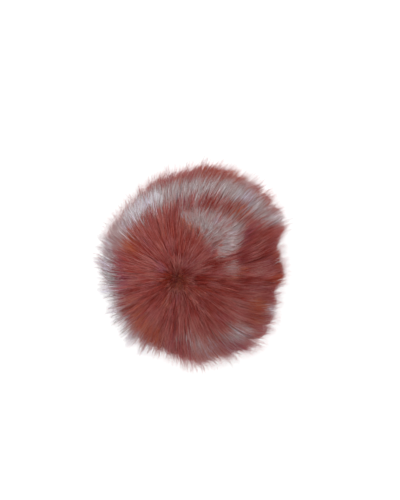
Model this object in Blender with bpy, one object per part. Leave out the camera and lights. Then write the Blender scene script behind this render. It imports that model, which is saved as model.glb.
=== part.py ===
"""A long-haired pom pom that lies crown up on a small flat spot.

The fur is one solid: a round backing with a lock of hair on each of its facets.
The locks are first drawn straight out of a ball of radius one, so that the distance
past one says how far along its hair a point is. One smooth map then stands them on
the real backing, combs them away from the crown, and gives the fluff its outline.
Metres, +Z up, with the origin on the surface, under the middle of the fluff.
"""
import math

import bmesh
import bpy
from mathutils import Quaternion, Vector, noise

# Overall size of the fluff, from tip to tip
WIDTH = 0.121
DEPTH = 0.134
HEIGHT = 0.102

# The round backing, and how high its middle stands
BACKING_RADIUS = 0.027
MIDDLE_HEIGHT = 0.047

# Tips this near the surface are set on it
LEVEL_WITHIN = 1e-6

# How far the hair reaches from the middle: up, down, and to each side.
# Bearing 0 is +X and 90 is +Y. The rows are the bulges and hollows of the outline.
REACH_UP = 0.055
REACH_DOWN = 0.058
SIDE_REACH = [
    {"bearing": 6, "reach": 0.0566},
    {"bearing": 28, "reach": 0.0652},
    {"bearing": 60, "reach": 0.0674},
    {"bearing": 72, "reach": 0.0684},
    {"bearing": 98, "reach": 0.0636},
    {"bearing": 108, "reach": 0.0646},
    {"bearing": 140, "reach": 0.0615},
    {"bearing": 165, "reach": 0.0626},
    {"bearing": 182, "reach": 0.0638},
    {"bearing": 200, "reach": 0.0588},
    {"bearing": 230, "reach": 0.0648},
    {"bearing": 242, "reach": 0.0626},
    {"bearing": 272, "reach": 0.0672},
    {"bearing": 300, "reach": 0.0666},
    {"bearing": 326, "reach": 0.0642},
    {"bearing": 338, "reach": 0.0568},
    {"bearing": 354, "reach": 0.0594},
]

# The crown leans off the top. Hair at the crown rises upright, and the hair round it
# is combed away from it.
CROWN_LEAN = math.radians(31.5)
CROWN_BEARING = math.radians(216)
UPRIGHT_SPAN = math.radians(50)
COMB_ANGLE = math.radians(46)
COMB_ONSET = math.radians(17)
COMB_BEND = 2.0
HAIR_RISE = 1.35

# Locks: how closely they stand at the crown, the gap at their roots, and the widths
# along them, on the ball of radius one
CROWN_GATHER = 1.2
ROOT_GAP = 0.012
LOCK_STEPS = [0.3, 0.58, 0.82, 1.0]
LOCK_TAPER = 2.5
LOCK_BODY = 0.86
LOCK_TIP = 0.10
LOCK_LENGTH = 0.96
LENGTH_SPREAD = 0.16
LENGTH_GRAIN = 23.0
FACET_GRAIN = 4.0
FACET_DRIFT = 0.05
WAVE_SIZE = 2.6
WAVE_DEPTH = 0.09
DRIFT_SHIFTS = [Vector((11.3, 2.7, 5.1)), Vector((3.9, 17.2, 8.4)), Vector((7.6, 4.8, 13.5))]

# The flat spot under the ball: how many facets it has, and their width at the surface
FOOT_FACETS = 20
FOOT_TIP = 0.45
FOOT_STEPS = [0.35, 0.7, 1.0]

FUR_COLOUR = (0.235, 0.062, 0.052, 1.0)

CROWN = Vector((
    math.sin(CROWN_LEAN) * math.cos(CROWN_BEARING),
    math.sin(CROWN_LEAN) * math.sin(CROWN_BEARING),
    math.cos(CROWN_LEAN),
))
CROWN_HINGE = CROWN.cross(Vector((0, 0, 1))).normalized()


def clear_scene():
    for item in list(bpy.data.objects):
        bpy.data.objects.remove(item, do_unlink=True)


def make_collection(name):
    group = bpy.data.collections.new(name)
    bpy.context.scene.collection.children.link(group)
    return group


def fur_material():
    """Dusty red fur: dull, with a little sheen."""
    material = bpy.data.materials.new("red_fur")
    material.use_nodes = True
    shader = material.node_tree.nodes["Principled BSDF"]
    shader.inputs["Base Color"].default_value = FUR_COLOUR
    shader.inputs["Roughness"].default_value = 0.85
    shader.inputs["Metallic"].default_value = 0.0
    material.diffuse_color = FUR_COLOUR
    return material


def drift(point):
    """A smooth uneven push that changes from place to place."""
    return Vector([noise.noise(point + shift) for shift in DRIFT_SHIFTS])


def side_reach(bearing):
    """Reach of the hair to one side, eased from each row of the table to the next."""
    turn = math.degrees(bearing) % 360
    rows = [(row["bearing"], row["reach"]) for row in SIDE_REACH]
    rows.insert(0, (rows[-1][0] - 360, rows[-1][1]))
    rows.append((rows[1][0] + 360, rows[1][1]))
    for (start, here), (end, there) in zip(rows, rows[1:]):
        if start <= turn <= end:
            part = (turn - start) / (end - start)
            ease = (1 - math.cos(math.pi * part)) / 2
            return here + (there - here) * ease
    raise ValueError("the table of reaches leaves out a bearing")


def free_reach(direction):
    """Reach of the hair along a direction, where nothing is in its way."""
    side = side_reach(math.atan2(direction.y, direction.x))
    along = REACH_UP if direction.z > 0 else REACH_DOWN
    level = math.hypot(direction.x, direction.y) / side
    return 1 / math.hypot(level, direction.z / along)


def floor_reach(direction):
    """Distance from the middle to the surface that the ball lies on."""
    if direction.z >= 0:
        return math.inf
    return MIDDLE_HEIGHT / -direction.z


def rise(part):
    """How far out a point of a hair is, from 0 at the backing to 1 at its tip."""
    return 1 - (1 - part) ** HAIR_RISE


def stand_up(direction, part):
    """Turn a direction near the crown up, so that the hair there rises straight."""
    out = 1 + rise(part) * (REACH_UP / BACKING_RADIUS - 1)
    upright = CROWN_LEAN - math.asin(math.sin(CROWN_LEAN) / out)
    nearness = math.exp(-(CROWN.angle(direction) / UPRIGHT_SPAN) ** 2)
    return Quaternion(CROWN_HINGE, upright * nearness) @ direction


def comb(direction, part):
    """Turn a direction away from the crown, more so towards the tip of the hair."""
    polar = CROWN.angle(direction)
    axis = CROWN.cross(direction)
    if axis.length == 0:
        return stand_up(direction, part)
    onset = 1 - math.exp(-polar / COMB_ONSET)
    turn = COMB_ANGLE * onset * (1 - polar / math.pi) * part ** COMB_BEND
    combed = stand_up(Quaternion(axis, turn) @ direction, part)
    wave = drift(direction * WAVE_SIZE) * WAVE_DEPTH * part
    return (combed + wave).normalized()


def place(point):
    """Carry a point from the ball of radius one to its place in the fluff."""
    part = min(max(point.length - 1, 0.0), 1.0)
    direction = comb(point.normalized(), part)
    reach = min(free_reach(direction), floor_reach(direction))
    radius = BACKING_RADIUS + (reach - BACKING_RADIUS) * rise(part)
    placed = direction * radius + Vector((0, 0, MIDDLE_HEIGHT))
    if placed.z < LEVEL_WITHIN:
        placed.z = 0.0
    return placed


def drawn_to_crown(direction):
    """Move a root towards the crown, because combing spreads the tips apart there."""
    polar = CROWN.angle(direction)
    drawn = math.pi * (polar / math.pi) ** CROWN_GATHER
    return Quaternion(direction.cross(CROWN), polar - drawn) @ direction


def make_backing():
    """A faceted ball of radius one, its facets a little uneven and finer at the crown."""
    backing = bmesh.new()
    backing.faces.layers.float.new("length")
    bmesh.ops.create_icosphere(backing, subdivisions=3, radius=1.0)
    for vert in backing.verts:
        shaken = vert.co + drift(vert.co * FACET_GRAIN) * FACET_DRIFT
        vert.co = drawn_to_crown(shaken.normalized())
    return backing


def foot_facets(backing):
    """The lowest facets, which carry the flat spot."""
    return sorted(backing.faces, key=lambda face: face.calc_center_median().z)[:FOOT_FACETS]


def middle_of(verts):
    total = Vector((0, 0, 0))
    for vert in verts:
        total += vert.co
    return total.normalized()


def set_section(verts, axis, part, narrowing):
    """Move a section out to a part of the hair, and draw it in about its axis."""
    for vert in verts:
        direction = axis + (vert.co.normalized() - axis) * narrowing
        vert.co = direction.normalized() * (1 + part)


def grow_foot(backing, faces):
    """Draw the facets under the ball down together, to the flat spot."""
    width = 1.0
    for part in FOOT_STEPS:
        grown = bmesh.ops.extrude_face_region(backing, geom=faces)["geom"]
        bmesh.ops.delete(backing, geom=faces, context="FACES")
        faces = [item for item in grown if isinstance(item, bmesh.types.BMFace)]
        verts = [item for item in grown if isinstance(item, bmesh.types.BMVert)]
        next_width = 1 + (FOOT_TIP - 1) * part
        set_section(verts, middle_of(verts), part, next_width / width)
        width = next_width


def lock_length(axis):
    """Locks under the ball end on the surface; the others end unevenly."""
    tip = comb(axis, 1.0)
    if floor_reach(tip) < free_reach(tip):
        return 1.0
    return min(1.0, LOCK_LENGTH + LENGTH_SPREAD * noise.noise(axis * LENGTH_GRAIN))


def grow_locks(backing, faces):
    """Inset each facet and draw it out, step by step, to a blunt tip."""
    length = backing.faces.layers.float["length"]
    for face in faces:
        face[length] = lock_length(face.calc_center_median().normalized())
    bmesh.ops.inset_individual(backing, faces=faces, thickness=ROOT_GAP, use_even_offset=True)
    width = 1.0
    for step in LOCK_STEPS:
        faces = bmesh.ops.extrude_discrete_faces(backing, faces=faces)["faces"]
        next_width = LOCK_TIP + LOCK_BODY * (1 - step ** LOCK_TAPER)
        for face in faces:
            set_section(face.verts, middle_of(face.verts), step * face[length], next_width / width)
        width = next_width


def fit_to_size(mesh_data):
    """Stretch the fluff to its overall size, and centre it over the origin."""
    points = [vert.co for vert in mesh_data.verts]
    low = Vector([min(point[axis] for point in points) for axis in range(3)])
    high = Vector([max(point[axis] for point in points) for axis in range(3)])
    middle = (low + high) / 2
    reach = high - low
    for point in points:
        point.x = (point.x - middle.x) * WIDTH / reach.x
        point.y = (point.y - middle.y) * DEPTH / reach.y
        point.z = (point.z - low.z) * HEIGHT / reach.z
    print("backing stands at", -middle.x, -middle.y, "and was stretched by", HEIGHT / reach.z)


def make_fur_ball(collection):
    fur = make_backing()
    foot = foot_facets(fur)
    locks = [face for face in fur.faces if face not in foot]
    grow_locks(fur, locks)
    grow_foot(fur, foot)
    for vert in fur.verts:
        vert.co = place(vert.co)
    fit_to_size(fur)
    bmesh.ops.recalc_face_normals(fur, faces=fur.faces)
    mesh = bpy.data.meshes.new("fur_ball")
    fur.to_mesh(mesh)
    fur.free()
    mesh.materials.append(fur_material())
    mesh.shade_smooth()
    mesh.set_sharp_from_angle(angle=math.radians(35))
    ball = bpy.data.objects.new("fur_ball", mesh)
    collection.objects.link(ball)
    print("locks:", len(locks), "triangles:", len(mesh.polygons))
    return ball


clear_scene()
make_fur_ball(make_collection("pom_pom"))
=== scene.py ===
# %% [markdown]
# # A long-haired fur pom pom
# This lesson dresses a plain solid of a pom pom as fur. The real thing is a piece of
# pelt gathered into a ball, so that its hair stands out all round. Here each hair is a
# thin closed sliver of mesh, worked out with arrays, and the hairs are joined into a few
# coats. Particle hair would be quicker to set up, but joined meshes can be measured,
# painted and kept like any other object.

# %% Load the solid that the fur grows around
import math

import bmesh
import bpy
import numpy as np
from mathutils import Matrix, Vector
from mathutils.kdtree import KDTree


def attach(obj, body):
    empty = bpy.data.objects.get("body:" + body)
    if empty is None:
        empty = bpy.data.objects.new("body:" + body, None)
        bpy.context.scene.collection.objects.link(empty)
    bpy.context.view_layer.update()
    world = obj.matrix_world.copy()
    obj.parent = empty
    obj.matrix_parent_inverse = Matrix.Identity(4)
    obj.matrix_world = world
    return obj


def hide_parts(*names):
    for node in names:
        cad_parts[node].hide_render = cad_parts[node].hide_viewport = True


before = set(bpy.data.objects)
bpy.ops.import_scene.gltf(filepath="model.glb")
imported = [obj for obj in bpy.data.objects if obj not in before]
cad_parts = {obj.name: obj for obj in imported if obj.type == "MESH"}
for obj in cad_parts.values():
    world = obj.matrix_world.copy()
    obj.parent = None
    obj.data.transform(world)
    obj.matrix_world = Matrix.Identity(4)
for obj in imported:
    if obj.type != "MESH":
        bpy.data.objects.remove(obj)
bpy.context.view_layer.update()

# %% [markdown]
# ## Where the hair grows from and how far it reaches
# A pom pom has a round backing with a crown, the point that its hair parts from. This
# one leans its crown off the top, towards the lower left of the picture. The outline
# isn't a circle: it has bulges and hollows. A short table of reaches by bearing, eased
# from row to row, holds that outline, as it does for the solid.

# %% Name the driving sizes
MM = 0.001
MIDDLE = np.array([0.0018, -0.0005, 0.0476])
BACKING_RADIUS = 0.027
REACH_UP = 0.0555
REACH_DOWN = 0.0585
OUTLINE = np.array([
    # bearing in degrees (0 is +X, 90 is +Y), reach in millimetres
    (0, 56.8), (6, 56.2), (14, 57.4), (24, 64.6), (33, 66.4), (60, 67.2), (72, 67.8),
    (84, 67.0), (98, 63.6), (110, 63.2), (140, 60.6), (165, 62.8), (182, 63.8),
    (192, 62.4), (200, 58.2), (210, 61.4), (220, 61.2), (230, 66.2), (242, 62.2),
    (256, 62.4), (271, 67.6), (282, 64.0), (292, 64.8), (302, 66.2), (311, 65.8),
    (320, 62.8), (328, 61.6), (334, 58.2), (342, 55.8), (352, 59.0),
])

# %% [markdown]
# ## Arrays of directions
# Every hair point is first a direction from the middle and a part of the way along its
# hair. Working on whole arrays of them keeps tens of thousands of hairs quick.

# %% Helpers for directions
def unit(vectors):
    return vectors / np.maximum(np.linalg.norm(vectors, axis=-1, keepdims=True), 1e-9)


def ease(values):
    clipped = np.clip(values, 0.0, 1.0)
    return clipped * clipped * (3 - 2 * clipped)


def side_reach(bearing):
    """Reach to the side, eased between the rows of the outline."""
    turn = np.degrees(bearing) % 360
    marks = np.concatenate(([OUTLINE[-1, 0] - 360], OUTLINE[:, 0], [OUTLINE[0, 0] + 360]))
    reaches = np.concatenate(([OUTLINE[-1, 1]], OUTLINE[:, 1], [OUTLINE[0, 1]])) * MM
    row = np.clip(np.searchsorted(marks, turn) - 1, 0, len(marks) - 2)
    part = (turn - marks[row]) / (marks[row + 1] - marks[row])
    return reaches[row] + (reaches[row + 1] - reaches[row]) * ease(part)


def free_reach(direction):
    side = side_reach(np.arctan2(direction[..., 1], direction[..., 0]))
    along = np.where(direction[..., 2] > 0, REACH_UP, REACH_DOWN)
    level = np.hypot(direction[..., 0], direction[..., 1]) / side
    return 1 / np.hypot(level, direction[..., 2] / along)


def floor_reach(direction):
    down = np.minimum(direction[..., 2], -1e-6)
    return np.where(direction[..., 2] < 0, MIDDLE[2] / -down, np.inf)


def ripples(points, size, seed):
    """Smooth uneven pushes: a few plane waves in random directions."""
    dice = np.random.default_rng(seed)
    total = np.zeros(points.shape)
    waves = 5
    for _ in range(waves):
        facing = unit(dice.normal(size=3)) * dice.uniform(0.6, 1.4) / size
        push = unit(dice.normal(size=3))
        total += np.sin(points @ facing + dice.uniform(0, 2 * math.pi))[..., None] * push
    return total / math.sqrt(waves)


print("reach to the right, back and left:", side_reach(np.radians([0.0, 90.0, 180.0])))

# %% [markdown]
# ## Combing away from the crown
# Hair leaves the backing straight out and then lies over, away from the crown. At the
# crown itself it stands upright, so from above the crown is a small deep parting with
# short strokes of hair all round it.

# %% Comb the hair
CROWN_LEAN = math.radians(31.5)
CROWN_BEARING = math.radians(216)
CROWN = np.array([
    math.sin(CROWN_LEAN) * math.cos(CROWN_BEARING),
    math.sin(CROWN_LEAN) * math.sin(CROWN_BEARING),
    math.cos(CROWN_LEAN),
])
CROWN_HINGE = unit(np.cross(CROWN, [0.0, 0.0, 1.0]))
UPRIGHT_SPAN = math.radians(50)
COMB_ANGLE = math.radians(46)
COMB_ONSET = math.radians(17)
COMB_BEND = 2.0
HAIR_RISE = 1.35


def rise(part):
    """How far out a point of a hair is, from 0 at the backing to 1 at the outline."""
    return 1 - (1 - np.minimum(part, 1.0)) ** HAIR_RISE


def angle_from_crown(direction):
    return np.arccos(np.clip(direction @ CROWN, -1, 1))


def stand_up(direction, part):
    """Turn directions near the crown up, so that hair there rises straight."""
    out = 1 + rise(part) * (REACH_UP / BACKING_RADIUS - 1)
    upright = CROWN_LEAN - np.arcsin(math.sin(CROWN_LEAN) / out)
    turn = upright * np.exp(-(angle_from_crown(direction)[..., None] / UPRIGHT_SPAN) ** 2)
    along = (direction @ CROWN_HINGE)[..., None] * CROWN_HINGE
    return np.cos(turn) * (direction - along) + np.sin(turn) * np.cross(CROWN_HINGE, direction) + along


def combed_angle(polar, part):
    """Angle from the crown that a direction is turned to."""
    onset = 1 - np.exp(-polar / COMB_ONSET)
    return polar + COMB_ANGLE * onset * (1 - polar / math.pi) * part ** COMB_BEND


def comb(direction, part):
    """Turn directions away from the crown, more so towards the tips."""
    away = unit(direction - (direction @ CROWN)[..., None] * CROWN)
    turned = combed_angle(angle_from_crown(direction)[..., None], part)
    return stand_up(np.cos(turned) * CROWN + np.sin(turned) * away, part)


print("a hair at the crown ends at", (comb(CROWN[None], np.array([[1.0]])) * REACH_UP / MM).round(1))

# %% [markdown]
# ## Roots and locks
# Fur doesn't stand as single hairs: neighbours cling together into fine pointed locks.
# Roots are spread over the backing in a golden-angle spiral about the crown, shaken a
# little, and there are fewer underneath, where nothing shows. They stand closer at the
# crown, where combing draws the tips apart. Each hair then belongs to the nearest of a
# smaller set of lock centres.

# %% Spread roots and gather them into locks
GOLDEN_ANGLE = math.pi * (3 - math.sqrt(5))
CROWN_SIDE = unit(np.cross(CROWN, [0.0, 1.0, 0.0]))
CROWN_FRONT = np.cross(CROWN, CROWN_SIDE)
EVEN_TIPS = 0.85
UNDERSIDE = -0.6
UNDERSIDE_SHARE = 0.4


def spread(count, shake, dice):
    """Directions spread over a ball so that the combed tips are nearly even."""
    polar = np.linspace(0, math.pi, 2000)
    even_roots = (1 - np.cos(polar)) / 2
    even_tips = (1 - np.cos(combed_angle(polar, 1.0))) / 2
    filled = even_roots + (even_tips - even_roots) * EVEN_TIPS
    polar = np.interp((np.arange(count) + 0.5) / count, filled, polar)
    turn = np.arange(count) * GOLDEN_ANGLE + dice.uniform(0, 2 * math.pi)
    flat = np.cos(turn)[:, None] * CROWN_SIDE + np.sin(turn)[:, None] * CROWN_FRONT
    even = np.cos(polar)[:, None] * CROWN + np.sin(polar)[:, None] * flat
    return unit(even + dice.normal(size=even.shape) * shake)


def thin_underside(roots, dice):
    kept = (roots[:, 2] > UNDERSIDE) | (dice.uniform(size=len(roots)) < UNDERSIDE_SHARE)
    return roots[kept]


def nearest(directions, centres):
    tree = KDTree(len(centres))
    for index, centre in enumerate(centres):
        tree.insert(centre, index)
    tree.balance()
    return np.array([tree.find(direction)[1] for direction in directions])


FINE_LOCKS = 7500
BROAD_LOCKS = 750
lock_dice = np.random.default_rng(3)
FINE_CENTRES = spread(FINE_LOCKS, 0.02, lock_dice)
BROAD_CENTRES = spread(BROAD_LOCKS, 0.05, lock_dice)
LOCK_LENGTHS = lock_dice.uniform(0.94, 1.04, size=BROAD_LOCKS)
LOCK_TINTS = lock_dice.normal(size=BROAD_LOCKS)
LOCK_SHADES = lock_dice.normal(size=BROAD_LOCKS)
FINE_LENGTHS = lock_dice.uniform(0.95, 1.03, size=FINE_LOCKS)
FINE_SHADES = lock_dice.normal(size=FINE_LOCKS)
FINE_SHIFTS = lock_dice.normal(size=(FINE_LOCKS, 2))
print("fine locks:", FINE_LOCKS, "broad locks:", BROAD_LOCKS)

# %% [markdown]
# ## Pale and rusty patches, and painted shade
# The hair is dusty red, with pale grey-pink patches where the dye hasn't taken. Seen
# from above they are a crescent near the upper rim, a fan beside the crown, a band at
# the lower right and a fringe at the left. A patch is like a brush stroke: a line
# through a few points, each with its half width, in millimetres to the right of and
# above the middle. Past the widest level the strokes carry on round the side, as if the
# ball were unrolled.

# %% Name the patches
CRESCENT = [(-54, 15, 5.5), (-47, 27, 6.3), (-34, 39.5, 7.2), (-18, 46.5, 6.8),
            (-4, 48.5, 6.2), (12, 49, 6.2), (26, 45.5, 7.5), (37, 38.5, 7), (47, 30, 4.5)]
FAN = [(-9, 33, 3.0), (1, 31, 6.0), (12, 27, 8.5), (22, 24, 8.0), (23, 15, 6.0), (17, 8, 4.0)]
FAN_EDGE = [(-8, 32, 2.5), (2, 24, 3.0), (9, 17, 3.5), (15, 10, 3.5)]
FAN_ROOTS = [(-8, 25, 3.5), (0, 19, 4.0), (8, 11, 4.0)]
LOWER_BAND = [(-11, -48, 4), (2, -51.5, 5), (16, -49.5, 5), (27, -43, 5.5), (31, -39, 4)]
LEFT_FRINGE = [(-58, 15, 3.3), (-58.5, 0, 4.2), (-58.5, -11, 4.2), (-57.5, -24, 4),
               (-54.5, -35, 3.6), (-47, -46, 3), (-36, -55, 1.8), (-26, -60, 1)]
PATCHES = {
    "pale": [
        (1.0, CRESCENT),
        (0.83, FAN),
        (0.72, FAN_EDGE),
        (0.95, [(22, 1, 3.4), (21, -4, 2)]),
        (0.4, [(35, -4, 2.5), (51, -4.5, 2.5)]),
        (0.6, LOWER_BAND),
        (0.95, LEFT_FRINGE),
        (0.3, [(-6, -62, 4), (12, -64, 4)]),
        (0.9, [(23, -46, 4), (29, -41, 4.5)]),
        (0.35, [(44, -36, 6), (34, -49, 5)]),
        (0.3, [(56, 36, 9), (64, 20, 8)]),
        (0.3, [(54, -30, 8), (50, -44, 8)]),
        (0.9, [(48, -28, 2.5), (51, -32, 3)]),
        (0.85, [(51, 31, 3.5), (56, 29, 3)]),
        (0.26, [(34, -22, 8), (24, -34, 8)]),
        (0.7, [(-72, -48, 7), (-92, 10, 9), (-62, 66, 7)]),
        (0.6, [(20, 86, 7), (78, 52, 10), (92, 0, 6)]),
        (0.7, [(-30, -84, 8), (40, -86, 9), (84, -48, 6)]),
    ],
    # Frost patches make pale hair whiter: partly frosted hair, partly painted highlight where light
    # falls on the upper left of the crescent and where the white floor shows through the thin hair of
    # the left fringe
    "frost": [
        (2.4, [(-42, 32, 5), (-33, 39, 5.5), (-26, 43, 4.5)]),
        (0.7, [(-50, 20, 4), (-6, 49, 3), (26, 46, 4), (38, 38, 4)]),
        (0.8, [(3, 28, 3), (12, 20, 3), (22, 16, 5)]),
        (1.8, LEFT_FRINGE),
        (1.2, [(48, -28, 2.5), (51, -32, 3)]),
        (1.5, [(51, 31, 3.5), (56, 29, 3)]),
        (0.5, [(23, -46, 4), (29, -41, 4.5)]),
    ],
    "rust": [
        (0.65, [(-43, 17, 4), (-39, 10, 4)]),
        (0.9, [(-46, -22, 5), (-36, -38, 6), (-24, -48, 5)]),
        (0.8, [(-11, 32, 1.5), (-4, 25, 2), (3, 18, 1.5)]),
        (0.9, [(54, 8, 4), (54, 0, 4)]),
        (1.3, [(50, -9, 3.5), (56, -9, 3.5)]),
        (0.7, [(4, 61, 4), (30, 58, 4)]),
        (0.8, [(22, 37, 3), (30, 33, 3)]),
        (1.2, [(40, -25, 4.5), (40, -34, 4)]),
        (0.8, [(34, -48, 3), (38, -46, 3)]),
        (0.6, [(-34, 54, 4), (-54, 38, 4)]),
        (0.75, [(-15, -9, 5), (-8, -10, 5)]),
    ],
    "plum": [
        (0.8, [(-52, 10, 3), (-50, -8, 3.5), (-49, -20, 3)]),
        (0.9, [(45, -34, 6), (38, -44, 6), (26, -55, 5)]),
        (0.8, [(-14, 41, 3), (6, 42, 3)]),
        (0.5, [(27, 0, 4), (12, -4, 3)]),
        (0.8, [(33, 21, 3), (31, 12, 3), (30, 5, 3)]),
    ],
    # Painted shade: these strokes paint the hair darker where it lies in shadow, in the hollow right
    # of the fan, between the fan and the crescent, at the crown's parting and at the right rim
    "painted_shade": [
        (1.0, [(35, 22, 2.5), (32, 12, 3), (30, 4, 3)]),
        (0.7, [(-10, 40, 3), (10, 41, 2.5), (24, 37, 3)]),
        (0.9, [(52, 2, 4), (52, -10, 4), (48, -20, 4)]),
        (0.35, [(-26, 24, 8), (-14, 14, 6)]),
        (0.9, [(-17, -9, 0.6), (-7, -10, 0.6)]),
        (1.0, [(48, -9, 3), (56, -9, 3)]),
    ],
    "lilac": [
        (0.8, [(-44, 30, 8), (-30, 42, 6)]),
        (0.8, [(30, 40, 7), (40, 32, 6)]),
        (0.7, [(14, 24, 5), (22, 12, 6)]),
        (0.6, [(46, -28, 4), (54, -36, 5)]),
    ],
    # Mixed patches vary shade and tint lock by lock; at the left fringe the darker, ash-grey locks are
    # painted shade for the gaps between the white locks
    "mixed": [
        (1.0, LEFT_FRINGE),
        (1.0, LOWER_BAND),
        (1.0, [(48, -28, 4), (51, -32, 5)]),
        (1.0, [(51, 31, 5), (56, 29, 5)]),
        (0.15, CRESCENT),
        (0.3, FAN),
    ],
}
PATCH_SOFTNESS = 3.0
HIDDEN_SOFTNESS = 0.5
ROUND_RIM = 65.0
# A place is laid out in full once it is this part of a quarter turn under the middle
UNROLLED_BY = 0.11
SIDE_RAGGEDNESS = 0.8
HIDDEN_RAGGEDNESS = 4.0
print("patches:", {kind: len(strokes) for kind, strokes in PATCHES.items()})

# %% Name the lifts
# A lift is a part of the reach: the fan stands above the hair past its edge
LIFT_SOFTNESS = 4.0
LIFTS = [
    (0.03, [(-6, 33, 4), (4, 29, 8), (14, 23, 10), (19, 10, 7)]),
    (-0.06, [(-10, 43, 4), (6, 46, 5), (24, 40, 5), (36, 26, 5), (36, 12, 5), (31, 2, 4)]),
    (0.015, CRESCENT),
    (-0.03, [(46, 18, 4), (58, 16, 4)]),
    (-0.04, [(-9, 62, 2.5), (-10, 70, 2.5)]),
    (-0.03, [(30, -8, 3), (58, -14, 4)]),
    (-0.12, [(-58, 15, 2.5), (-58.5, 0, 4.2), (-58.5, -11, 4.2)]),
]
print("lifts:", len(LIFTS))

# %% [markdown]
# ## Looking a patch up
# The strokes could be painted into an image, but a formula stays sharp at any size: a
# point lies in a stroke when it is nearer to the stroke's line than the half width there.

# %% Measure how much of a patch is at a place
def stroke_mask(points, stroke, softness=PATCH_SOFTNESS):
    """One on a brush stroke and zero away from it."""
    mask = np.zeros(points.shape[:-1])
    for (x0, y0, w0), (x1, y1, w1) in zip(stroke, stroke[1:]):
        start = np.array([x0, y0])
        run = np.array([x1 - x0, y1 - y0])
        part = np.clip((points - start) @ run / (run @ run), 0, 1)
        gap = np.linalg.norm(points - start - part[..., None] * run, axis=-1)
        mask = np.maximum(mask, ease((w0 + (w1 - w0) * part - gap) / softness + 0.5))
    return mask


def unrolled(points):
    """Places as seen from above, in millimetres; the underside is laid out beyond the rim."""
    offset = points - MIDDLE
    level = np.hypot(offset[..., 0], offset[..., 1])
    under = np.arctan2(np.maximum(-offset[..., 2], 0), level) / (math.pi / 2)
    side = side_reach(np.arctan2(offset[..., 1], offset[..., 0]))
    pushed = level + (side * (1 + under) - level) * np.minimum(under / UNROLLED_BY, 1.0)
    return offset[..., :2] * (pushed / np.maximum(level, 1e-6))[..., None] / MM


def past_rim(places):
    """How far places are laid out past a round rim, in millimetres."""
    return np.maximum(np.linalg.norm(places, axis=-1) - ROUND_RIM, 0)


def patch_amount(kind, places):
    """Strength of one kind of patch; its edges are softer past the rim."""
    softness = PATCH_SOFTNESS + HIDDEN_SOFTNESS * past_rim(places)
    amount = np.zeros(places.shape[:-1])
    for strength, stroke in PATCHES[kind]:
        amount = np.maximum(amount, stroke_mask(places, stroke, softness) * strength)
    return amount


def lift_amount(places):
    return sum(height * stroke_mask(places, stroke, LIFT_SOFTNESS) for height, stroke in LIFTS)


print("paleness in the middle of the crescent:", patch_amount("pale", np.array([[-4.0, 48.5]])))

# %% [markdown]
# ## From a path to a sliver of mesh
# A hair is a spindle: it starts and ends in a point, with three-sided rings between, so
# that it is a closed body with few faces. Its map holds two numbers for painting: the
# column tells which tint the hair has, and the shade how dark or pale it is there.

# %% Put rings round the paths
SIDES = 3


def ring_points(paths, widths):
    """Corners of the rings round each path, with a point at either end."""
    along = unit(np.gradient(paths, axis=1))[:, 1:-1]
    across = unit(np.cross(along, unit(paths[:, 1:-1] - MIDDLE)) + 1e-6)
    upward = np.cross(across, along)
    angles = (np.arange(SIDES) * 2 * math.pi / SIDES)[:, None]
    spokes = np.cos(angles) * across[:, :, None] + np.sin(angles) * upward[:, :, None]
    rings = paths[:, 1:-1, None] + spokes * widths[:, 1:-1, None, None] / 2
    return np.concatenate((paths[:, :1], rings.reshape(len(paths), -1, 3), paths[:, -1:]), axis=1)


print("triangles for each ring of a hair:", SIDES * 2)

# %% Build one mesh from many paths
COLUMN_WIDTH = 0.012
COLUMN_LIMITS = (0.01, 0.97)
SHADE_LIMITS = (0.01, 0.99)


def hair_mesh(name, paths, widths, columns, shades):
    """paths: hairs x points x 3; widths, columns and shades: hairs x points."""
    hairs, points = paths.shape[:2]
    rings = points - 2
    verts = ring_points(paths, widths)

    side = np.arange(SIDES)
    after = (side + 1) % SIDES
    last = 1 + (rings - 1) * SIDES
    tip = np.full(SIDES, 1 + rings * SIDES)
    fans = np.stack((0 * side, 1 + after, 1 + side), axis=1)
    caps = np.stack((last + side, last + after, tip), axis=1)
    quads = [
        np.stack((low + side, low + after, low + SIDES + after, low + SIDES + side), axis=1)
        for low in range(1, last, SIDES)
    ]
    corners = np.concatenate((fans.ravel(), np.concatenate(quads).ravel(), caps.ravel()))
    sizes = np.concatenate((np.full(SIDES, 3), np.full(SIDES * len(quads), 4), np.full(SIDES, 3)))

    step = COLUMN_WIDTH / SIDES
    fan_u = np.stack((side + 0.5, side + 1.0, side + 0.0), axis=1) * step
    cap_u = np.stack((side + 0.0, side + 1.0, side + 0.5), axis=1) * step
    quad_u = np.stack((side + 0.0, side + 1.0, side + 1.0, side + 0.0), axis=1) * step
    corner_u = np.concatenate((fan_u.ravel(), np.tile(quad_u.ravel(), len(quads)), cap_u.ravel()))
    point_of = np.concatenate(([0], np.repeat(np.arange(1, rings + 1), SIDES), [points - 1]))

    stride = verts.shape[1]
    indices = (np.arange(hairs)[:, None] * stride + corners).ravel()
    totals = np.tile(sizes, hairs)
    maps = np.empty((hairs, len(corners), 2), np.float32)
    maps[..., 0] = np.clip(columns, *COLUMN_LIMITS)[:, point_of[corners]] + corner_u
    maps[..., 1] = np.clip(shades, *SHADE_LIMITS)[:, point_of[corners]]

    mesh = bpy.data.meshes.new(name)
    mesh.vertices.add(hairs * stride)
    mesh.vertices.foreach_set("co", verts.astype(np.float32).ravel())
    mesh.loops.add(len(indices))
    mesh.loops.foreach_set("vertex_index", indices.astype(np.int32))
    mesh.polygons.add(len(totals))
    starts = np.concatenate(([0], np.cumsum(totals)[:-1]))
    mesh.polygons.foreach_set("loop_start", starts.astype(np.int32))
    mesh.uv_layers.new(name="OFBake").uv.foreach_set("vector", maps.ravel())
    mesh.update(calc_edges=True)
    mesh.shade_smooth()
    piece = bpy.data.objects.new(name, mesh)
    bpy.context.scene.collection.objects.link(piece)
    print(f"{name}: {hairs} hairs, {hairs * rings * SIDES * 2} triangles")
    return piece
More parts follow.
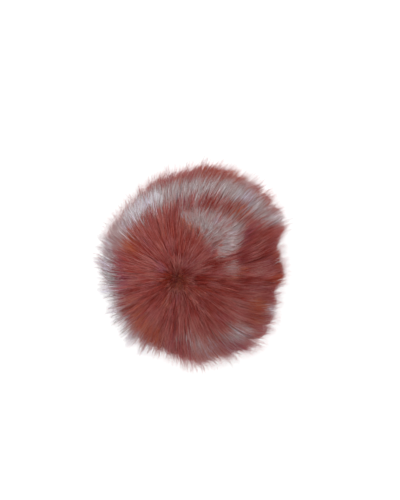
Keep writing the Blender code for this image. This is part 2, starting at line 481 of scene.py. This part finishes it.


# %% [markdown]
# ## The tints of fur
# All the hair shares one effect: a shade from dark root to pale tip, and a tint that
# differs from hair to hair. Red hair goes from plum to rust, and pale hair from ash to
# cream. The ash grey is partly painted shade: it darkens pale locks in the gaps between
# white ones. It is a shader node group with named inputs, so a coat can place it with
# colours of its own.

# %% Build the fur tint group
SHADE_MARKS = [
    ("Root", 0.0), ("Deep", 0.22), ("Body", 0.48), ("Light", 0.66), ("Pale", 0.84), ("Frost", 1.0),
]
RED_ENDS = 0.62
PALE_STARTS = 0.82
TINT_SHARE = 0.85
ROUGH_ROOT = 0.78
SMOOTH_TIP = 0.5
# Columns at which a tint begins and is full, and whether it tints the red or the pale hair
TINTS = [
    ("Plum", "red", 0.42, 0.0), ("Rust", "red", 0.6, 1.0),
    # Ash greys pale hair, partly as painted shade between white locks
    ("Ash and shade", "pale", 0.36, 0.0), ("Lilac", "pale", 0.62, 1.0),
]


def new_group(name, inputs, outputs):
    group = bpy.data.node_groups.new(name, "ShaderNodeTree")
    for label, kind, value in inputs:
        socket = group.interface.new_socket(label, in_out="INPUT", socket_type=kind)
        socket.default_value = value
    for label, kind in outputs:
        group.interface.new_socket(label, in_out="OUTPUT", socket_type=kind)
    return group


def colour_mix(tree, factor, first, second, blend="MIX"):
    mix = tree.nodes.new("ShaderNodeMix")
    mix.data_type = "RGBA"
    mix.blend_type = blend
    tree.links.new(factor, mix.inputs[0])
    tree.links.new(first, mix.inputs[6])
    tree.links.new(second, mix.inputs[7])
    return mix.outputs[2]


def map_range(tree, value, low, high, out_low=0.0, out_high=1.0):
    node = tree.nodes.new("ShaderNodeMapRange")
    node.interpolation_type = "SMOOTHSTEP"
    tree.links.new(value, node.inputs["Value"])
    node.inputs["From Min"].default_value = low
    node.inputs["From Max"].default_value = high
    node.inputs["To Min"].default_value = out_low
    node.inputs["To Max"].default_value = out_high
    return node.outputs["Result"]


def product(tree, first, second):
    node = tree.nodes.new("ShaderNodeMath")
    node.operation = "MULTIPLY"
    tree.links.new(first, node.inputs[0])
    tree.links.new(second, node.inputs[1])
    return node.outputs[0]


def fur_tint_group():
    black = (0.0, 0.0, 0.0, 1.0)
    inputs = [("Column", "NodeSocketFloat", 0.5), ("Shade", "NodeSocketFloat", 0.5)]
    labels = [label for label, _ in SHADE_MARKS] + [label for label, _, _, _ in TINTS]
    inputs += [(label, "NodeSocketColor", black) for label in labels]
    outputs = [("Colour", "NodeSocketColor"), ("Roughness", "NodeSocketFloat")]
    tree = new_group("fur tint", inputs, outputs)
    given = tree.nodes.new("NodeGroupInput").outputs
    result = tree.nodes.new("NodeGroupOutput").inputs
    shade = given["Shade"]
    colour = given["Root"]
    for (_, low), (label, high) in zip(SHADE_MARKS, SHADE_MARKS[1:]):
        colour = colour_mix(tree, map_range(tree, shade, low, high), colour, given[label])
    masks = {
        "red": map_range(tree, shade, RED_ENDS, PALE_STARTS, 1.0, 0.0),
        "pale": map_range(tree, shade, RED_ENDS, PALE_STARTS, 0.0, 1.0),
    }
    for label, hair, low, high in TINTS:
        share = map_range(tree, given["Column"], low, high, 0.0, TINT_SHARE)
        colour = colour_mix(tree, product(tree, share, masks[hair]), colour, given[label], "MULTIPLY")
    tree.links.new(colour, result["Colour"])
    tree.links.new(map_range(tree, shade, 0.3, 1.0, ROUGH_ROOT, SMOOTH_TIP), result["Roughness"])
    return tree


FUR_TINT = fur_tint_group()
print("fur tint sockets:", [item.name for item in FUR_TINT.interface.items_tree])

# %% [markdown]
# ## Fur materials
# Hair is dull but has a soft glow along its edges, which the shader's sheen gives. The
# column and shade come from the map that each hair carries, so nothing is drawn by hand.

# %% Make a fur material
RED_FUR = {
    "Root": (0.200, 0.012, 0.008), "Deep": (0.280, 0.028, 0.020), "Body": (0.385, 0.074, 0.062),
    "Light": (0.500, 0.170, 0.150), "Pale": (0.540, 0.440, 0.435), "Frost": (0.900, 0.880, 0.920),
    # Ash is a grey for pale hair, partly painted shade for the gaps between white locks
    "Plum": (0.84, 0.70, 1.20), "Rust": (1.16, 0.88, 0.30), "Ash and shade": (0.42, 0.42, 0.40),
    "Lilac": (0.98, 0.90, 1.08),
}


def fur_material(name, colours):
    material = bpy.data.materials.new(name)
    material.use_nodes = True
    nodes, links = material.node_tree.nodes, material.node_tree.links
    shader = nodes["Principled BSDF"]
    spot = nodes.new("ShaderNodeUVMap")
    spot.uv_map = "OFBake"
    parts = nodes.new("ShaderNodeSeparateXYZ")
    tint = nodes.new("ShaderNodeGroup")
    tint.node_tree = FUR_TINT
    for label, colour in colours.items():
        tint.inputs[label].default_value = (*colour, 1.0)
    links.new(spot.outputs["UV"], parts.inputs[0])
    links.new(parts.outputs["X"], tint.inputs["Column"])
    links.new(parts.outputs["Y"], tint.inputs["Shade"])
    links.new(tint.outputs["Colour"], shader.inputs["Base Color"])
    links.new(tint.outputs["Roughness"], shader.inputs["Roughness"])
    shader.inputs["Specular IOR Level"].default_value = 0.06
    shader.inputs["Sheen Weight"].default_value = 0.02
    shader.inputs["Sheen Roughness"].default_value = 0.5
    return material


red_fur = fur_material("dusty red fur", RED_FUR)
print("material:", red_fur.name, "with", len(red_fur.node_tree.nodes), "nodes")

# %% [markdown]
# ## Growing a coat
# A coat is a set of hairs of like length. Each hair leaves the backing, bends away from
# the crown and is drawn towards the middle line of its lock, with a wave that its lock
# shares and a little frizz of its own. Where a hair's tip falls in a lifted patch, the
# whole hair stands higher, so that the patch ends in a fringe of tips.

# %% Set points out along a hair
FULLNESS = 0.993
# The comb slackens from the first of these parts of a hair, and ends at the second
COMB_EASES = 0.92
COMB_ENDS = 1.2


def combed_part(along):
    """How far the comb has turned the hair; past the outline it runs straight out."""
    capped = np.minimum(along, COMB_ENDS)
    return capped - np.maximum(capped - COMB_EASES, 0) ** 2 / (COMB_ENDS - COMB_EASES) / 2


def along_direction(direction, lift, part):
    """Points at these directions, at a part of the reach there."""
    reach = np.minimum(free_reach(direction) * FULLNESS * (1 + lift), floor_reach(direction))
    over = np.maximum(part - 1, 0)
    radius = BACKING_RADIUS + (reach - BACKING_RADIUS) * (rise(part) + over)
    return MIDDLE + direction * radius[..., None]


def tip_places(roots):
    tips = comb(roots[:, None], np.ones((1, 1, 1)))[:, 0]
    return unrolled(along_direction(tips, 0.0, np.ones(len(roots))))


print("a hair of twice the reach is combed as one of", combed_part(np.array([2.0])).round(2))

# %% [markdown]
# ## The fan
# The fan is a tuft of its own: its hairs rise together at its heart and then spread out
# over the rest. Combing can't do that, so these hairs are drawn anew in the plan, from
# near the heart to where their tips belong, and their height follows from there.

# %% Spread the fan
FAN_HEART = np.array([2.5, 14.0])
FAN_SHARE = 0.9
FAN_ROOM = 0.35
FAN_SCATTER = 0.8
FAN_BEND = 1.5
FAN_RISE = 2.4
WIDEST_FAN = 0.98


def fan_out(paths, places, lift, along, dice):
    """Redraw the hairs whose tips lie on the fan, so that they spread from its heart."""
    share = stroke_mask(places, FAN)[:, None, None] * FAN_SHARE
    start = FAN_HEART + (places - FAN_HEART) * FAN_ROOM
    start = start + dice.normal(size=start.shape) * FAN_SCATTER
    plan = start[:, None] + (places - start)[:, None] * along[..., None] ** FAN_BEND
    side = side_reach(np.arctan2(plan[..., 1], plan[..., 0])) / MM
    level = np.minimum(np.linalg.norm(plan, axis=-1) / side, WIDEST_FAN)
    top = REACH_UP * FULLNESS * (1 + lift) * np.sqrt(1 - level ** 2)
    below = BACKING_RADIUS ** 2 - (start ** 2).sum(axis=-1) * MM ** 2
    bottom = np.sqrt(np.maximum(below, 0))[:, None]
    height = bottom + (top - bottom) * (1 - np.maximum(1 - along, 0) ** FAN_RISE)
    fan = MIDDLE + np.concatenate((plan * MM, height[..., None]), axis=-1)
    return paths + (fan - paths) * share


print("the fan spreads from", FAN_HEART, "mm")

# %% [markdown]
# ## A lock's hold on its hairs
# A hair follows its fine lock closely and its broad lock loosely, and both more so
# towards the tip. Near the crown hair stands free, so there the hold is less.

# %% Grow the paths of a coat
FLOOR_CLEARANCE = 0.3 * MM
HAIR_PARTS = np.array([0.0, 0.46, 0.70, 0.87, 1.0])
LONGEST = 1.33
CROWN_LOOSENESS = math.radians(16)
CROWN_FREEDOM = 0.7
HOLD_BEND = 1.3
BROAD_GATHER = 0.42
TIP_BEND = 1.5
WAVE_SIZE = 0.16
WAVE_DEPTH = 0.075
WAVE_SEED = 5
FRIZZ_BEND = 1.6
CRIMP = 0.3


def grow(roots, dice, lengths, cling, frizz, parts, longest):
    """Paths of hairs, with the fine and the broad lock of each."""
    count = len(roots)
    fine = nearest(roots, FINE_CENTRES)
    broad = nearest(roots, BROAD_CENTRES)
    part = parts[None, :, None]
    length = dice.uniform(*lengths, size=count) * LOCK_LENGTHS[broad] * FINE_LENGTHS[fine]
    along = part * np.minimum(length, longest)[:, None, None]
    loose = np.exp(-angle_from_crown(roots) / CROWN_LOOSENESS)[:, None, None]
    hold = dice.uniform(*cling, size=count)[:, None, None] * (1 - CROWN_FREEDOM * loose)
    hold = hold * part ** HOLD_BEND
    bent = combed_part(along)
    fine_way = comb(FINE_CENTRES[fine][:, None], bent)
    broad_way = comb(BROAD_CENTRES[broad][:, None], bent)
    direction = unit(comb(roots[:, None], bent) * (1 - hold) + fine_way * hold)
    gather = BROAD_GATHER * part ** TIP_BEND * (1 - loose)
    direction = unit(direction * (1 - gather) + broad_way * gather)
    places = tip_places(roots)
    shared = ripples(FINE_CENTRES[fine][:, None] + 0 * part, WAVE_SIZE, WAVE_SEED)
    wave = shared * WAVE_DEPTH * part ** TIP_BEND
    wave = wave + dice.normal(size=(count, 1, 3)) * frizz * part ** FRIZZ_BEND
    wave = wave + dice.normal(size=(count, len(parts), 3)) * frizz * CRIMP * part
    direction = unit(direction + wave)
    lift = lift_amount(places)[:, None] * part[..., 0] ** TIP_BEND
    paths = along_direction(direction, lift, along[..., 0])
    paths = fan_out(paths, places, lift, along[..., 0], dice)
    paths[..., 2] = np.maximum(paths[..., 2], FLOOR_CLEARANCE)
    return paths, fine, broad


print("parts along a hair:", HAIR_PARTS)

# %% [markdown]
# ## Shades of red
# Red hair starts dark at its root and gets lighter towards its tip. At the crown it is
# painted darker, as painted shade in the parting. Locks differ a little in shade, which
# keeps them apart to the eye.

# %% Shade plain red hair
ROOT_SHADE = 0.11
TIP_SHADE = 0.40
FAR_TIP_SHADE = 0.08
# How much darker crown hair is painted: painted shade in the parting
CROWN_PAINTED_SHADE = 0.06
LIGHTENING = 1.2
CROWN_LIGHTENING = 1.4
LOCK_CONTRAST = 0.095
FINE_CONTRAST = 0.12
LIGHTEST_RED = 0.64


def red_shade(parts, roots, fine, broad, dice, variety):
    """Shade of plain red hair, from its dark root to its lighter tip."""
    part = parts[None, :]
    crown = np.exp(-(angle_from_crown(roots) / CROWN_LOOSENESS) ** 2)[:, None]
    rising = TIP_SHADE * ease(part * (LIGHTENING + CROWN_LIGHTENING * crown))
    # Hair at the crown is painted darker: painted shade in the deep parting there
    shade = ROOT_SHADE + rising + FAR_TIP_SHADE * part ** 4 - CROWN_PAINTED_SHADE * crown ** 3
    shade = shade + (LOCK_SHADES[broad] * LOCK_CONTRAST + FINE_SHADES[fine] * FINE_CONTRAST)[:, None]
    return np.minimum(shade + dice.normal(size=(len(roots), 1)) * variety, LIGHTEST_RED)


print("red hair goes from", ROOT_SHADE, "at its root to", ROOT_SHADE + TIP_SHADE + FAR_TIP_SHADE)

# %% [markdown]
# ## Pale hair
# Dye takes by place and not by hair, so each point looks up the patches where it lies.
# The places are shaken hair by hair and lock by lock first, because the edge of a patch
# is ragged. Single hairs past the outline catch the light, so they are painted paler: a
# painted highlight.

# %% Find where hair is pale
EDGE_RAGGEDNESS = 2.2
STRAY_PALE = 0.03
STRAY_AMOUNT = 0.35
STRAY_FROM_ROOT = 1.6
STUBBORN_RED = 0.03
STUBBORN_AMOUNT = 0.25
RIM_BAND = (0.85, 1.45)
RIM_HIGHLIGHT = 0.6
RIM_HIGHLIGHT_DEPTH = 3.5


def shaken_places(paths, fine, dice):
    places = unrolled(paths)
    places = places + unit(places) * dice.normal(size=(len(paths), 1, 1)) * EDGE_RAGGEDNESS
    shift = SIDE_RAGGEDNESS * (1 + past_rim(places) / HIDDEN_RAGGEDNESS)
    return places + FINE_SHIFTS[fine][:, None] * shift[..., None]


def near_the_rim(places, inner, outer):
    """Whether places lie between two parts of the way out to the rim."""
    bearing = np.arctan2(places[..., 1], places[..., 0])
    ratio = np.linalg.norm(places, axis=-1) * MM / side_reach(bearing)
    return (ratio > inner) & (ratio < outer)


def past_outline(paths):
    """How far points stand out past the outline, in millimetres."""
    offset = paths - MIDDLE
    return (np.linalg.norm(offset, axis=-1) - free_reach(unit(offset))) / MM


def pale_amount(patch, frost, part, paths, places, dice):
    """How pale each point is, from patches, odd hairs, whitened tips and a painted highlight at the
    rim.
    """
    choice = dice.uniform(size=(len(paths), 1))
    pale = np.where(choice < STUBBORN_RED, patch * STUBBORN_AMOUNT, patch)
    stray = np.maximum(pale, STRAY_AMOUNT * ease(part * STRAY_FROM_ROOT))
    pale = np.where(choice > 1 - STRAY_PALE, stray, pale)
    # Hairs past the outline near the rim get a painted highlight
    rim = near_the_rim(places, *RIM_BAND) * ease(past_outline(paths) / RIM_HIGHLIGHT_DEPTH)
    return np.maximum(pale, np.maximum(frost, rim * RIM_HIGHLIGHT))


print("odd hairs among the rest:", STRAY_PALE + STUBBORN_RED)

# %% [markdown]
# ## Painting a coat
# The shade and the column go into the map of each hair. Vertex colours would do too,
# but with two numbers the tints stay in the shader, where they are easy to change.

# %% Paint a coat
# Whitened tips are frosted hair, partly painted highlight
WHITENING_LENGTH = 0.2
FROST_AND_HIGHLIGHT_SHADE = 0.1
TIP_WHITENING = 1.2
# How much darker painted shade makes red hair
PAINTED_SHADE_DEPTH = 0.16
PALE_SHADE = 0.82
PALE_PART = 0.8
PALE_SLOPE = 0.15
PALE_SPREAD = 0.05
MIXED_SHADE = 0.14
MIDDLE_COLUMN = 0.48
LOCK_TINT = 0.10
HAIR_TINT = 0.10
RED_TINT = 0.45
PLUM_STRENGTH = 0.9
LILAC_TINT = 0.3
MIXED_TINT = 0.32


def paint(paths, parts, roots, fine, broad, dice,
          variety=0.09, frosted=0.0, frost_from=0.7, ashen=0.0):
    """Column and shade at each point: roots dark, tips lighter, patches by place."""
    count = len(paths)
    part = parts[None, :]
    shade = red_shade(parts, roots, fine, broad, dice, variety)
    places = shaken_places(paths, fine, dice)
    amount = {kind: patch_amount(kind, places) for kind in PATCHES}
    # Tips are whitened from a part of their length on: frosted hair, partly painted highlight
    frost = frosted * ease((part - frost_from) / WHITENING_LENGTH)
    pale = pale_amount(amount["pale"], frost, part, paths, places, dice)

    # Red hair is painted darker under the painted shade patches
    shade = shade - PAINTED_SHADE_DEPTH * amount["painted_shade"] * (1 - pale)
    # In mixed patches some locks are darker and greyer: at the left fringe, painted shade between the
    # white locks
    own_shade = FINE_SHADES[fine][:, None]
    strand = dice.normal(size=(count, 1)) * PALE_SPREAD + own_shade * MIXED_SHADE * amount["mixed"]
    # Pale hair is whiter in frost patches and at whitened tips: partly painted highlight
    whitening = FROST_AND_HIGHLIGHT_SHADE * np.maximum(amount["frost"], frost * TIP_WHITENING)
    pale_shade = PALE_SHADE + whitening + strand + (part - PALE_PART) * PALE_SLOPE
    shade = shade + (pale_shade - shade) * pale

    column = MIDDLE_COLUMN + LOCK_TINTS[broad][:, None] * LOCK_TINT
    column = column + dice.normal(size=(count, 1)) * HAIR_TINT - ashen
    red_tint = (amount["rust"] - PLUM_STRENGTH * amount["plum"]) * RED_TINT
    pale_tint = amount["lilac"] * LILAC_TINT + own_shade * MIXED_TINT * amount["mixed"]
    return column + red_tint * (1 - pale) + pale_tint * pale, shade


print("pale hair has the shade", PALE_SHADE, "and frosted hair", PALE_SHADE + FROST_AND_HIGHLIGHT_SHADE)

# %% [markdown]
# ## The coats
# Fur has short, dense hair near the skin and longer, sparser hair over it. Five coats
# from short to long give the body of the fluff. The first also replaces the solid.

# %% Make the coats
WIDTH_PARTS = [0, 0.15, 0.6, 0.9, 1.0]
WIDTH_PROFILE = [0.5, 1.0, 0.85, 0.5, 0.0]
WIDTH_SPREAD = (0.7, 1.3)
ROOT_SHAKE = 0.012


def widths_along(count, parts, widest, dice):
    profile = np.interp(parts, WIDTH_PARTS, WIDTH_PROFILE)
    return profile * widest * MM * dice.uniform(*WIDTH_SPREAD, size=(count, 1))


def coat(name, count, lengths, cling, widest, seed, frizz=0.012, parts=HAIR_PARTS,
         longest=LONGEST, only=None, **look):
    dice = np.random.default_rng(seed)
    roots = thin_underside(spread(count, ROOT_SHAKE, dice), dice)
    if only is not None:
        roots = roots[dice.uniform(size=len(roots)) < only(tip_places(roots))]
    paths, fine, broad = grow(roots, dice, lengths, cling, frizz, parts, longest)
    column, shade = paint(paths, parts, roots, fine, broad, dice, **look)
    piece = hair_mesh(name, paths, widths_along(len(roots), parts, widest, dice), column, shade)
    piece.data.materials.append(red_fur)
    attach(piece, "root")
    return piece


UNDERCOAT_PARTS = np.array([0.0, 0.4, 0.75, 1.0])
undercoat = coat("undercoat", 5600, (0.45, 0.8), (0.2, 0.6), 1.1, 21, parts=UNDERCOAT_PARTS)
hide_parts("fur_ball")
INNER_PARTS = np.array([0.0, 0.5, 0.8, 1.0])
coat("inner_coat", 12000, (0.74, 0.97), (0.4, 0.85), 0.44, 22, frizz=0.014, parts=INNER_PARTS)
coat("middle_coat", 11000, (0.86, 1.0), (0.5, 0.95), 0.38, 23, frizz=0.014)
coat("outer_coat", 11000, (0.90, 1.04), (0.5, 0.97), 0.32, 24, frizz=0.014)
coat("guard_hair", 11000, (0.92, 1.08), (0.2, 0.8), 0.22, 25, frizz=0.022, variety=0.10)

# %% [markdown]
# ## Hair in certain places
# Some hair grows only in places: fine hair at the crown, the tuft of the fan, loose
# wisps at the rim and a pale fringe at the left. Each is a coat whose roots are kept or
# dropped by where their tips would lie.

# %% Say where the tufts and wisps are
CROWN_TUFT = 15.0
WISP_BAND = (0.9, 1.25)
WISPY_BEARING = math.radians(225)
FEWEST_WISPS = 0.35
FRINGE_STARTS = 156
FRINGE_ENDS = 252
FRINGE_FADE = 24
FRINGE_BAND = (0.96, 1.18)
FRINGE_CORE = (0.97, 1.08)
CORE_SHARE = 0.6


def at_the_crown(places):
    return np.linalg.norm(places - CROWN[:2] * BACKING_RADIUS / MM, axis=1) < CROWN_TUFT


def at_the_rim(places):
    """Wisps stand thickest at the lower left."""
    bearing = np.arctan2(places[:, 1], places[:, 0])
    thickness = (0.5 + 0.5 * np.cos(bearing - WISPY_BEARING)) ** 2
    return near_the_rim(places, *WISP_BAND) * (FEWEST_WISPS + (1 - FEWEST_WISPS) * thickness)


def in_the_fan(places):
    return np.maximum(stroke_mask(places, FAN), stroke_mask(places, FAN_EDGE))


def by_the_fan(places):
    return np.maximum(stroke_mask(places, FAN_EDGE), stroke_mask(places, FAN_ROOTS))


def in_the_fringe(places):
    bearing = np.degrees(np.arctan2(places[:, 1], places[:, 0])) % 360
    ends = ease((bearing - FRINGE_STARTS) / FRINGE_FADE) * ease((FRINGE_ENDS - bearing) / FRINGE_FADE)
    band = near_the_rim(places, *FRINGE_BAND) * (1 - CORE_SHARE)
    return ends * (band + near_the_rim(places, *FRINGE_CORE) * CORE_SHARE)


print("the fringe runs from", FRINGE_STARTS, "to", FRINGE_ENDS, "degrees")

# %% Add the tufts, the wisps and the fringe
FRINGE_PARTS = np.array([0.0, 0.5, 0.78, 0.89, 1.0])
WISP_PARTS = np.array([0.0, 0.62, 0.86, 1.0])
coat("crown_hair", 90000, (0.5, 0.88), (0.1, 0.6), 0.30, 29, frizz=0.06, only=at_the_crown)
# Wisps and the fringe have whitened tips: frosted hair, partly painted highlight where the white floor
# shows through them
coat("rim_wisps", 34000, (1.03, 1.32), (0.0, 0.4), 0.13, 26, frizz=0.035, parts=WISP_PARTS,
     only=at_the_rim, frosted=0.95, frost_from=0.8, ashen=0.25)
coat("pale_fan", 44000, (0.75, 1.05), (0.3, 0.8), 0.26, 27, frizz=0.02, only=in_the_fan)
coat("fan_edge", 110000, (0.85, 1.05), (0.3, 0.8), 0.32, 30, frizz=0.02, only=by_the_fan)
coat("pale_fringe", 32000, (1.04, 1.38), (0.6, 1.0), 0.26, 28, frizz=0.006, parts=FRINGE_PARTS,
     longest=1.38, only=in_the_fringe, frosted=1.0, frost_from=0.62)

# %% [markdown]
# ## The backing
# Under the hair is the pelt itself, drawn into a ball. Hardly any of it shows, but it
# stops light from shining through between the roots.

# %% Make the backing
BACKING_FILL = 1.04
PUCKER_SIZE = 0.3
PUCKER_SEED = 9
PUCKER_DEPTH = 0.5 * MM


def make_backing():
    ball = bmesh.new()
    bmesh.ops.create_icosphere(ball, subdivisions=4, radius=BACKING_RADIUS * BACKING_FILL)
    for vert in ball.verts:
        pucker = ripples(np.array(vert.co) / BACKING_RADIUS, PUCKER_SIZE, PUCKER_SEED)
        vert.co += Vector(pucker * PUCKER_DEPTH)
        vert.co += Vector(MIDDLE)
    mesh = bpy.data.meshes.new("backing")
    ball.to_mesh(mesh)
    ball.free()
    mesh.shade_smooth()
    piece = bpy.data.objects.new("backing", mesh)
    bpy.context.scene.collection.objects.link(piece)
    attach(piece, "root")
    return piece


def backing_material():
    """Dyed pelt: dark and dull, with a fine grain."""
    material = bpy.data.materials.new("dyed pelt")
    material.use_nodes = True
    tree = material.node_tree
    shader = tree.nodes["Principled BSDF"]
    grain = tree.nodes.new("ShaderNodeTexNoise")
    grain.inputs["Scale"].default_value = 300.0
    place = tree.nodes.new("ShaderNodeTexCoord")
    tree.links.new(place.outputs["Object"], grain.inputs["Vector"])
    mix = tree.nodes.new("ShaderNodeMix")
    mix.data_type = "RGBA"
    mix.inputs[6].default_value = (0.05, 0.010, 0.010, 1.0)
    mix.inputs[7].default_value = (0.09, 0.020, 0.018, 1.0)
    tree.links.new(grain.outputs["Fac"], mix.inputs[0])
    tree.links.new(mix.outputs[2], shader.inputs["Base Color"])
    shader.inputs["Roughness"].default_value = 0.9
    return material


backing = make_backing()
backing.data.materials.append(backing_material())
print("backing faces:", len(backing.data.polygons))

# %% [markdown]
# ## Floor, light and camera
# The picture looks straight down at the pom pom on plain white. A pale floor under big
# soft lights does the same, and the camera hangs above, at the picture's scale.

# %% Set the stage
FLOOR_HALF = 6.0


def emitter(name, size, power, place, target):
    light = bpy.data.lights.new(name, "AREA")
    light.shape = "DISK"
    light.size = size
    light.energy = power
    lamp = bpy.data.objects.new(name, light)
    lamp.location = place
    lamp.rotation_mode = "QUATERNION"
    lamp.rotation_quaternion = (Vector(target) - Vector(place)).to_track_quat("-Z", "Y")
    bpy.context.scene.collection.objects.link(lamp)


def make_floor():
    mesh = bpy.data.meshes.new("floor")
    corners = [(x * FLOOR_HALF, y * FLOOR_HALF, 0) for x, y in ((-1, -1), (1, -1), (1, 1), (-1, 1))]
    mesh.from_pydata(corners, [], [(0, 1, 2, 3)])
    floor = bpy.data.objects.new("floor", mesh)
    bpy.context.scene.collection.objects.link(floor)
    material = bpy.data.materials.new("pale floor")
    material.use_nodes = True
    shader = material.node_tree.nodes["Principled BSDF"]
    shader.inputs["Base Color"].default_value = (0.9, 0.9, 0.9, 1.0)
    shader.inputs["Roughness"].default_value = 0.9
    shader.inputs["Emission Color"].default_value = (1.0, 1.0, 1.0, 1.0)
    shader.inputs["Emission Strength"].default_value = 0.35
    mesh.materials.append(material)


def make_world(brightness, seen_brightness):
    """Even light all round, with a whiter backdrop where it is seen directly."""
    world = bpy.data.worlds.new("soft studio")
    world.use_nodes = True
    tree = world.node_tree
    seen = tree.nodes.new("ShaderNodeLightPath")
    strength = tree.nodes.new("ShaderNodeMapRange")
    strength.inputs["To Min"].default_value = brightness
    strength.inputs["To Max"].default_value = seen_brightness
    tree.links.new(seen.outputs["Is Camera Ray"], strength.inputs["Value"])
    tree.nodes["Background"].inputs["Color"].default_value = (1.0, 1.0, 1.0, 1.0)
    tree.links.new(strength.outputs["Result"], tree.nodes["Background"].inputs["Strength"])
    bpy.context.scene.world = world


make_floor()
make_world(brightness=0.80, seen_brightness=1.0)
LIT_POINT = (0, 0, 0.05)
emitter("key light", size=1.2, power=7.5, place=(-0.35, 0.45, 1.3), target=LIT_POINT)
emitter("fill light", size=1.4, power=5.5, place=(0.35, -0.3, 1.4), target=LIT_POINT)
print("lights:", [light.name for light in bpy.data.lights])

# %% [markdown]
# ## The camera
# A long lens from far off keeps the ball from bulging towards the camera. The distance
# follows from the lens and from how many millimetres a pixel of the picture spans.

# %% Hang the camera
MM_PER_PIXEL = 0.65
PICTURE_HEIGHT = 500
CAMERA_OFFSET = (3.8 * MM, 9.0 * MM)
WIDEST_LEVEL = 0.050
LENS = 85.0
SENSOR = 36.0


def make_camera():
    data = bpy.data.cameras.new("camera")
    data.lens = LENS
    data.sensor_width = SENSOR
    camera = bpy.data.objects.new("camera", data)
    distance = PICTURE_HEIGHT * MM_PER_PIXEL * MM * LENS / SENSOR
    camera.location = (*CAMERA_OFFSET, WIDEST_LEVEL + distance)
    bpy.context.scene.collection.objects.link(camera)
    bpy.context.scene.camera = camera
    print("camera height in metres:", round(camera.location.z, 3))


make_camera()
bpy.context.scene.view_settings.view_transform = "Standard"
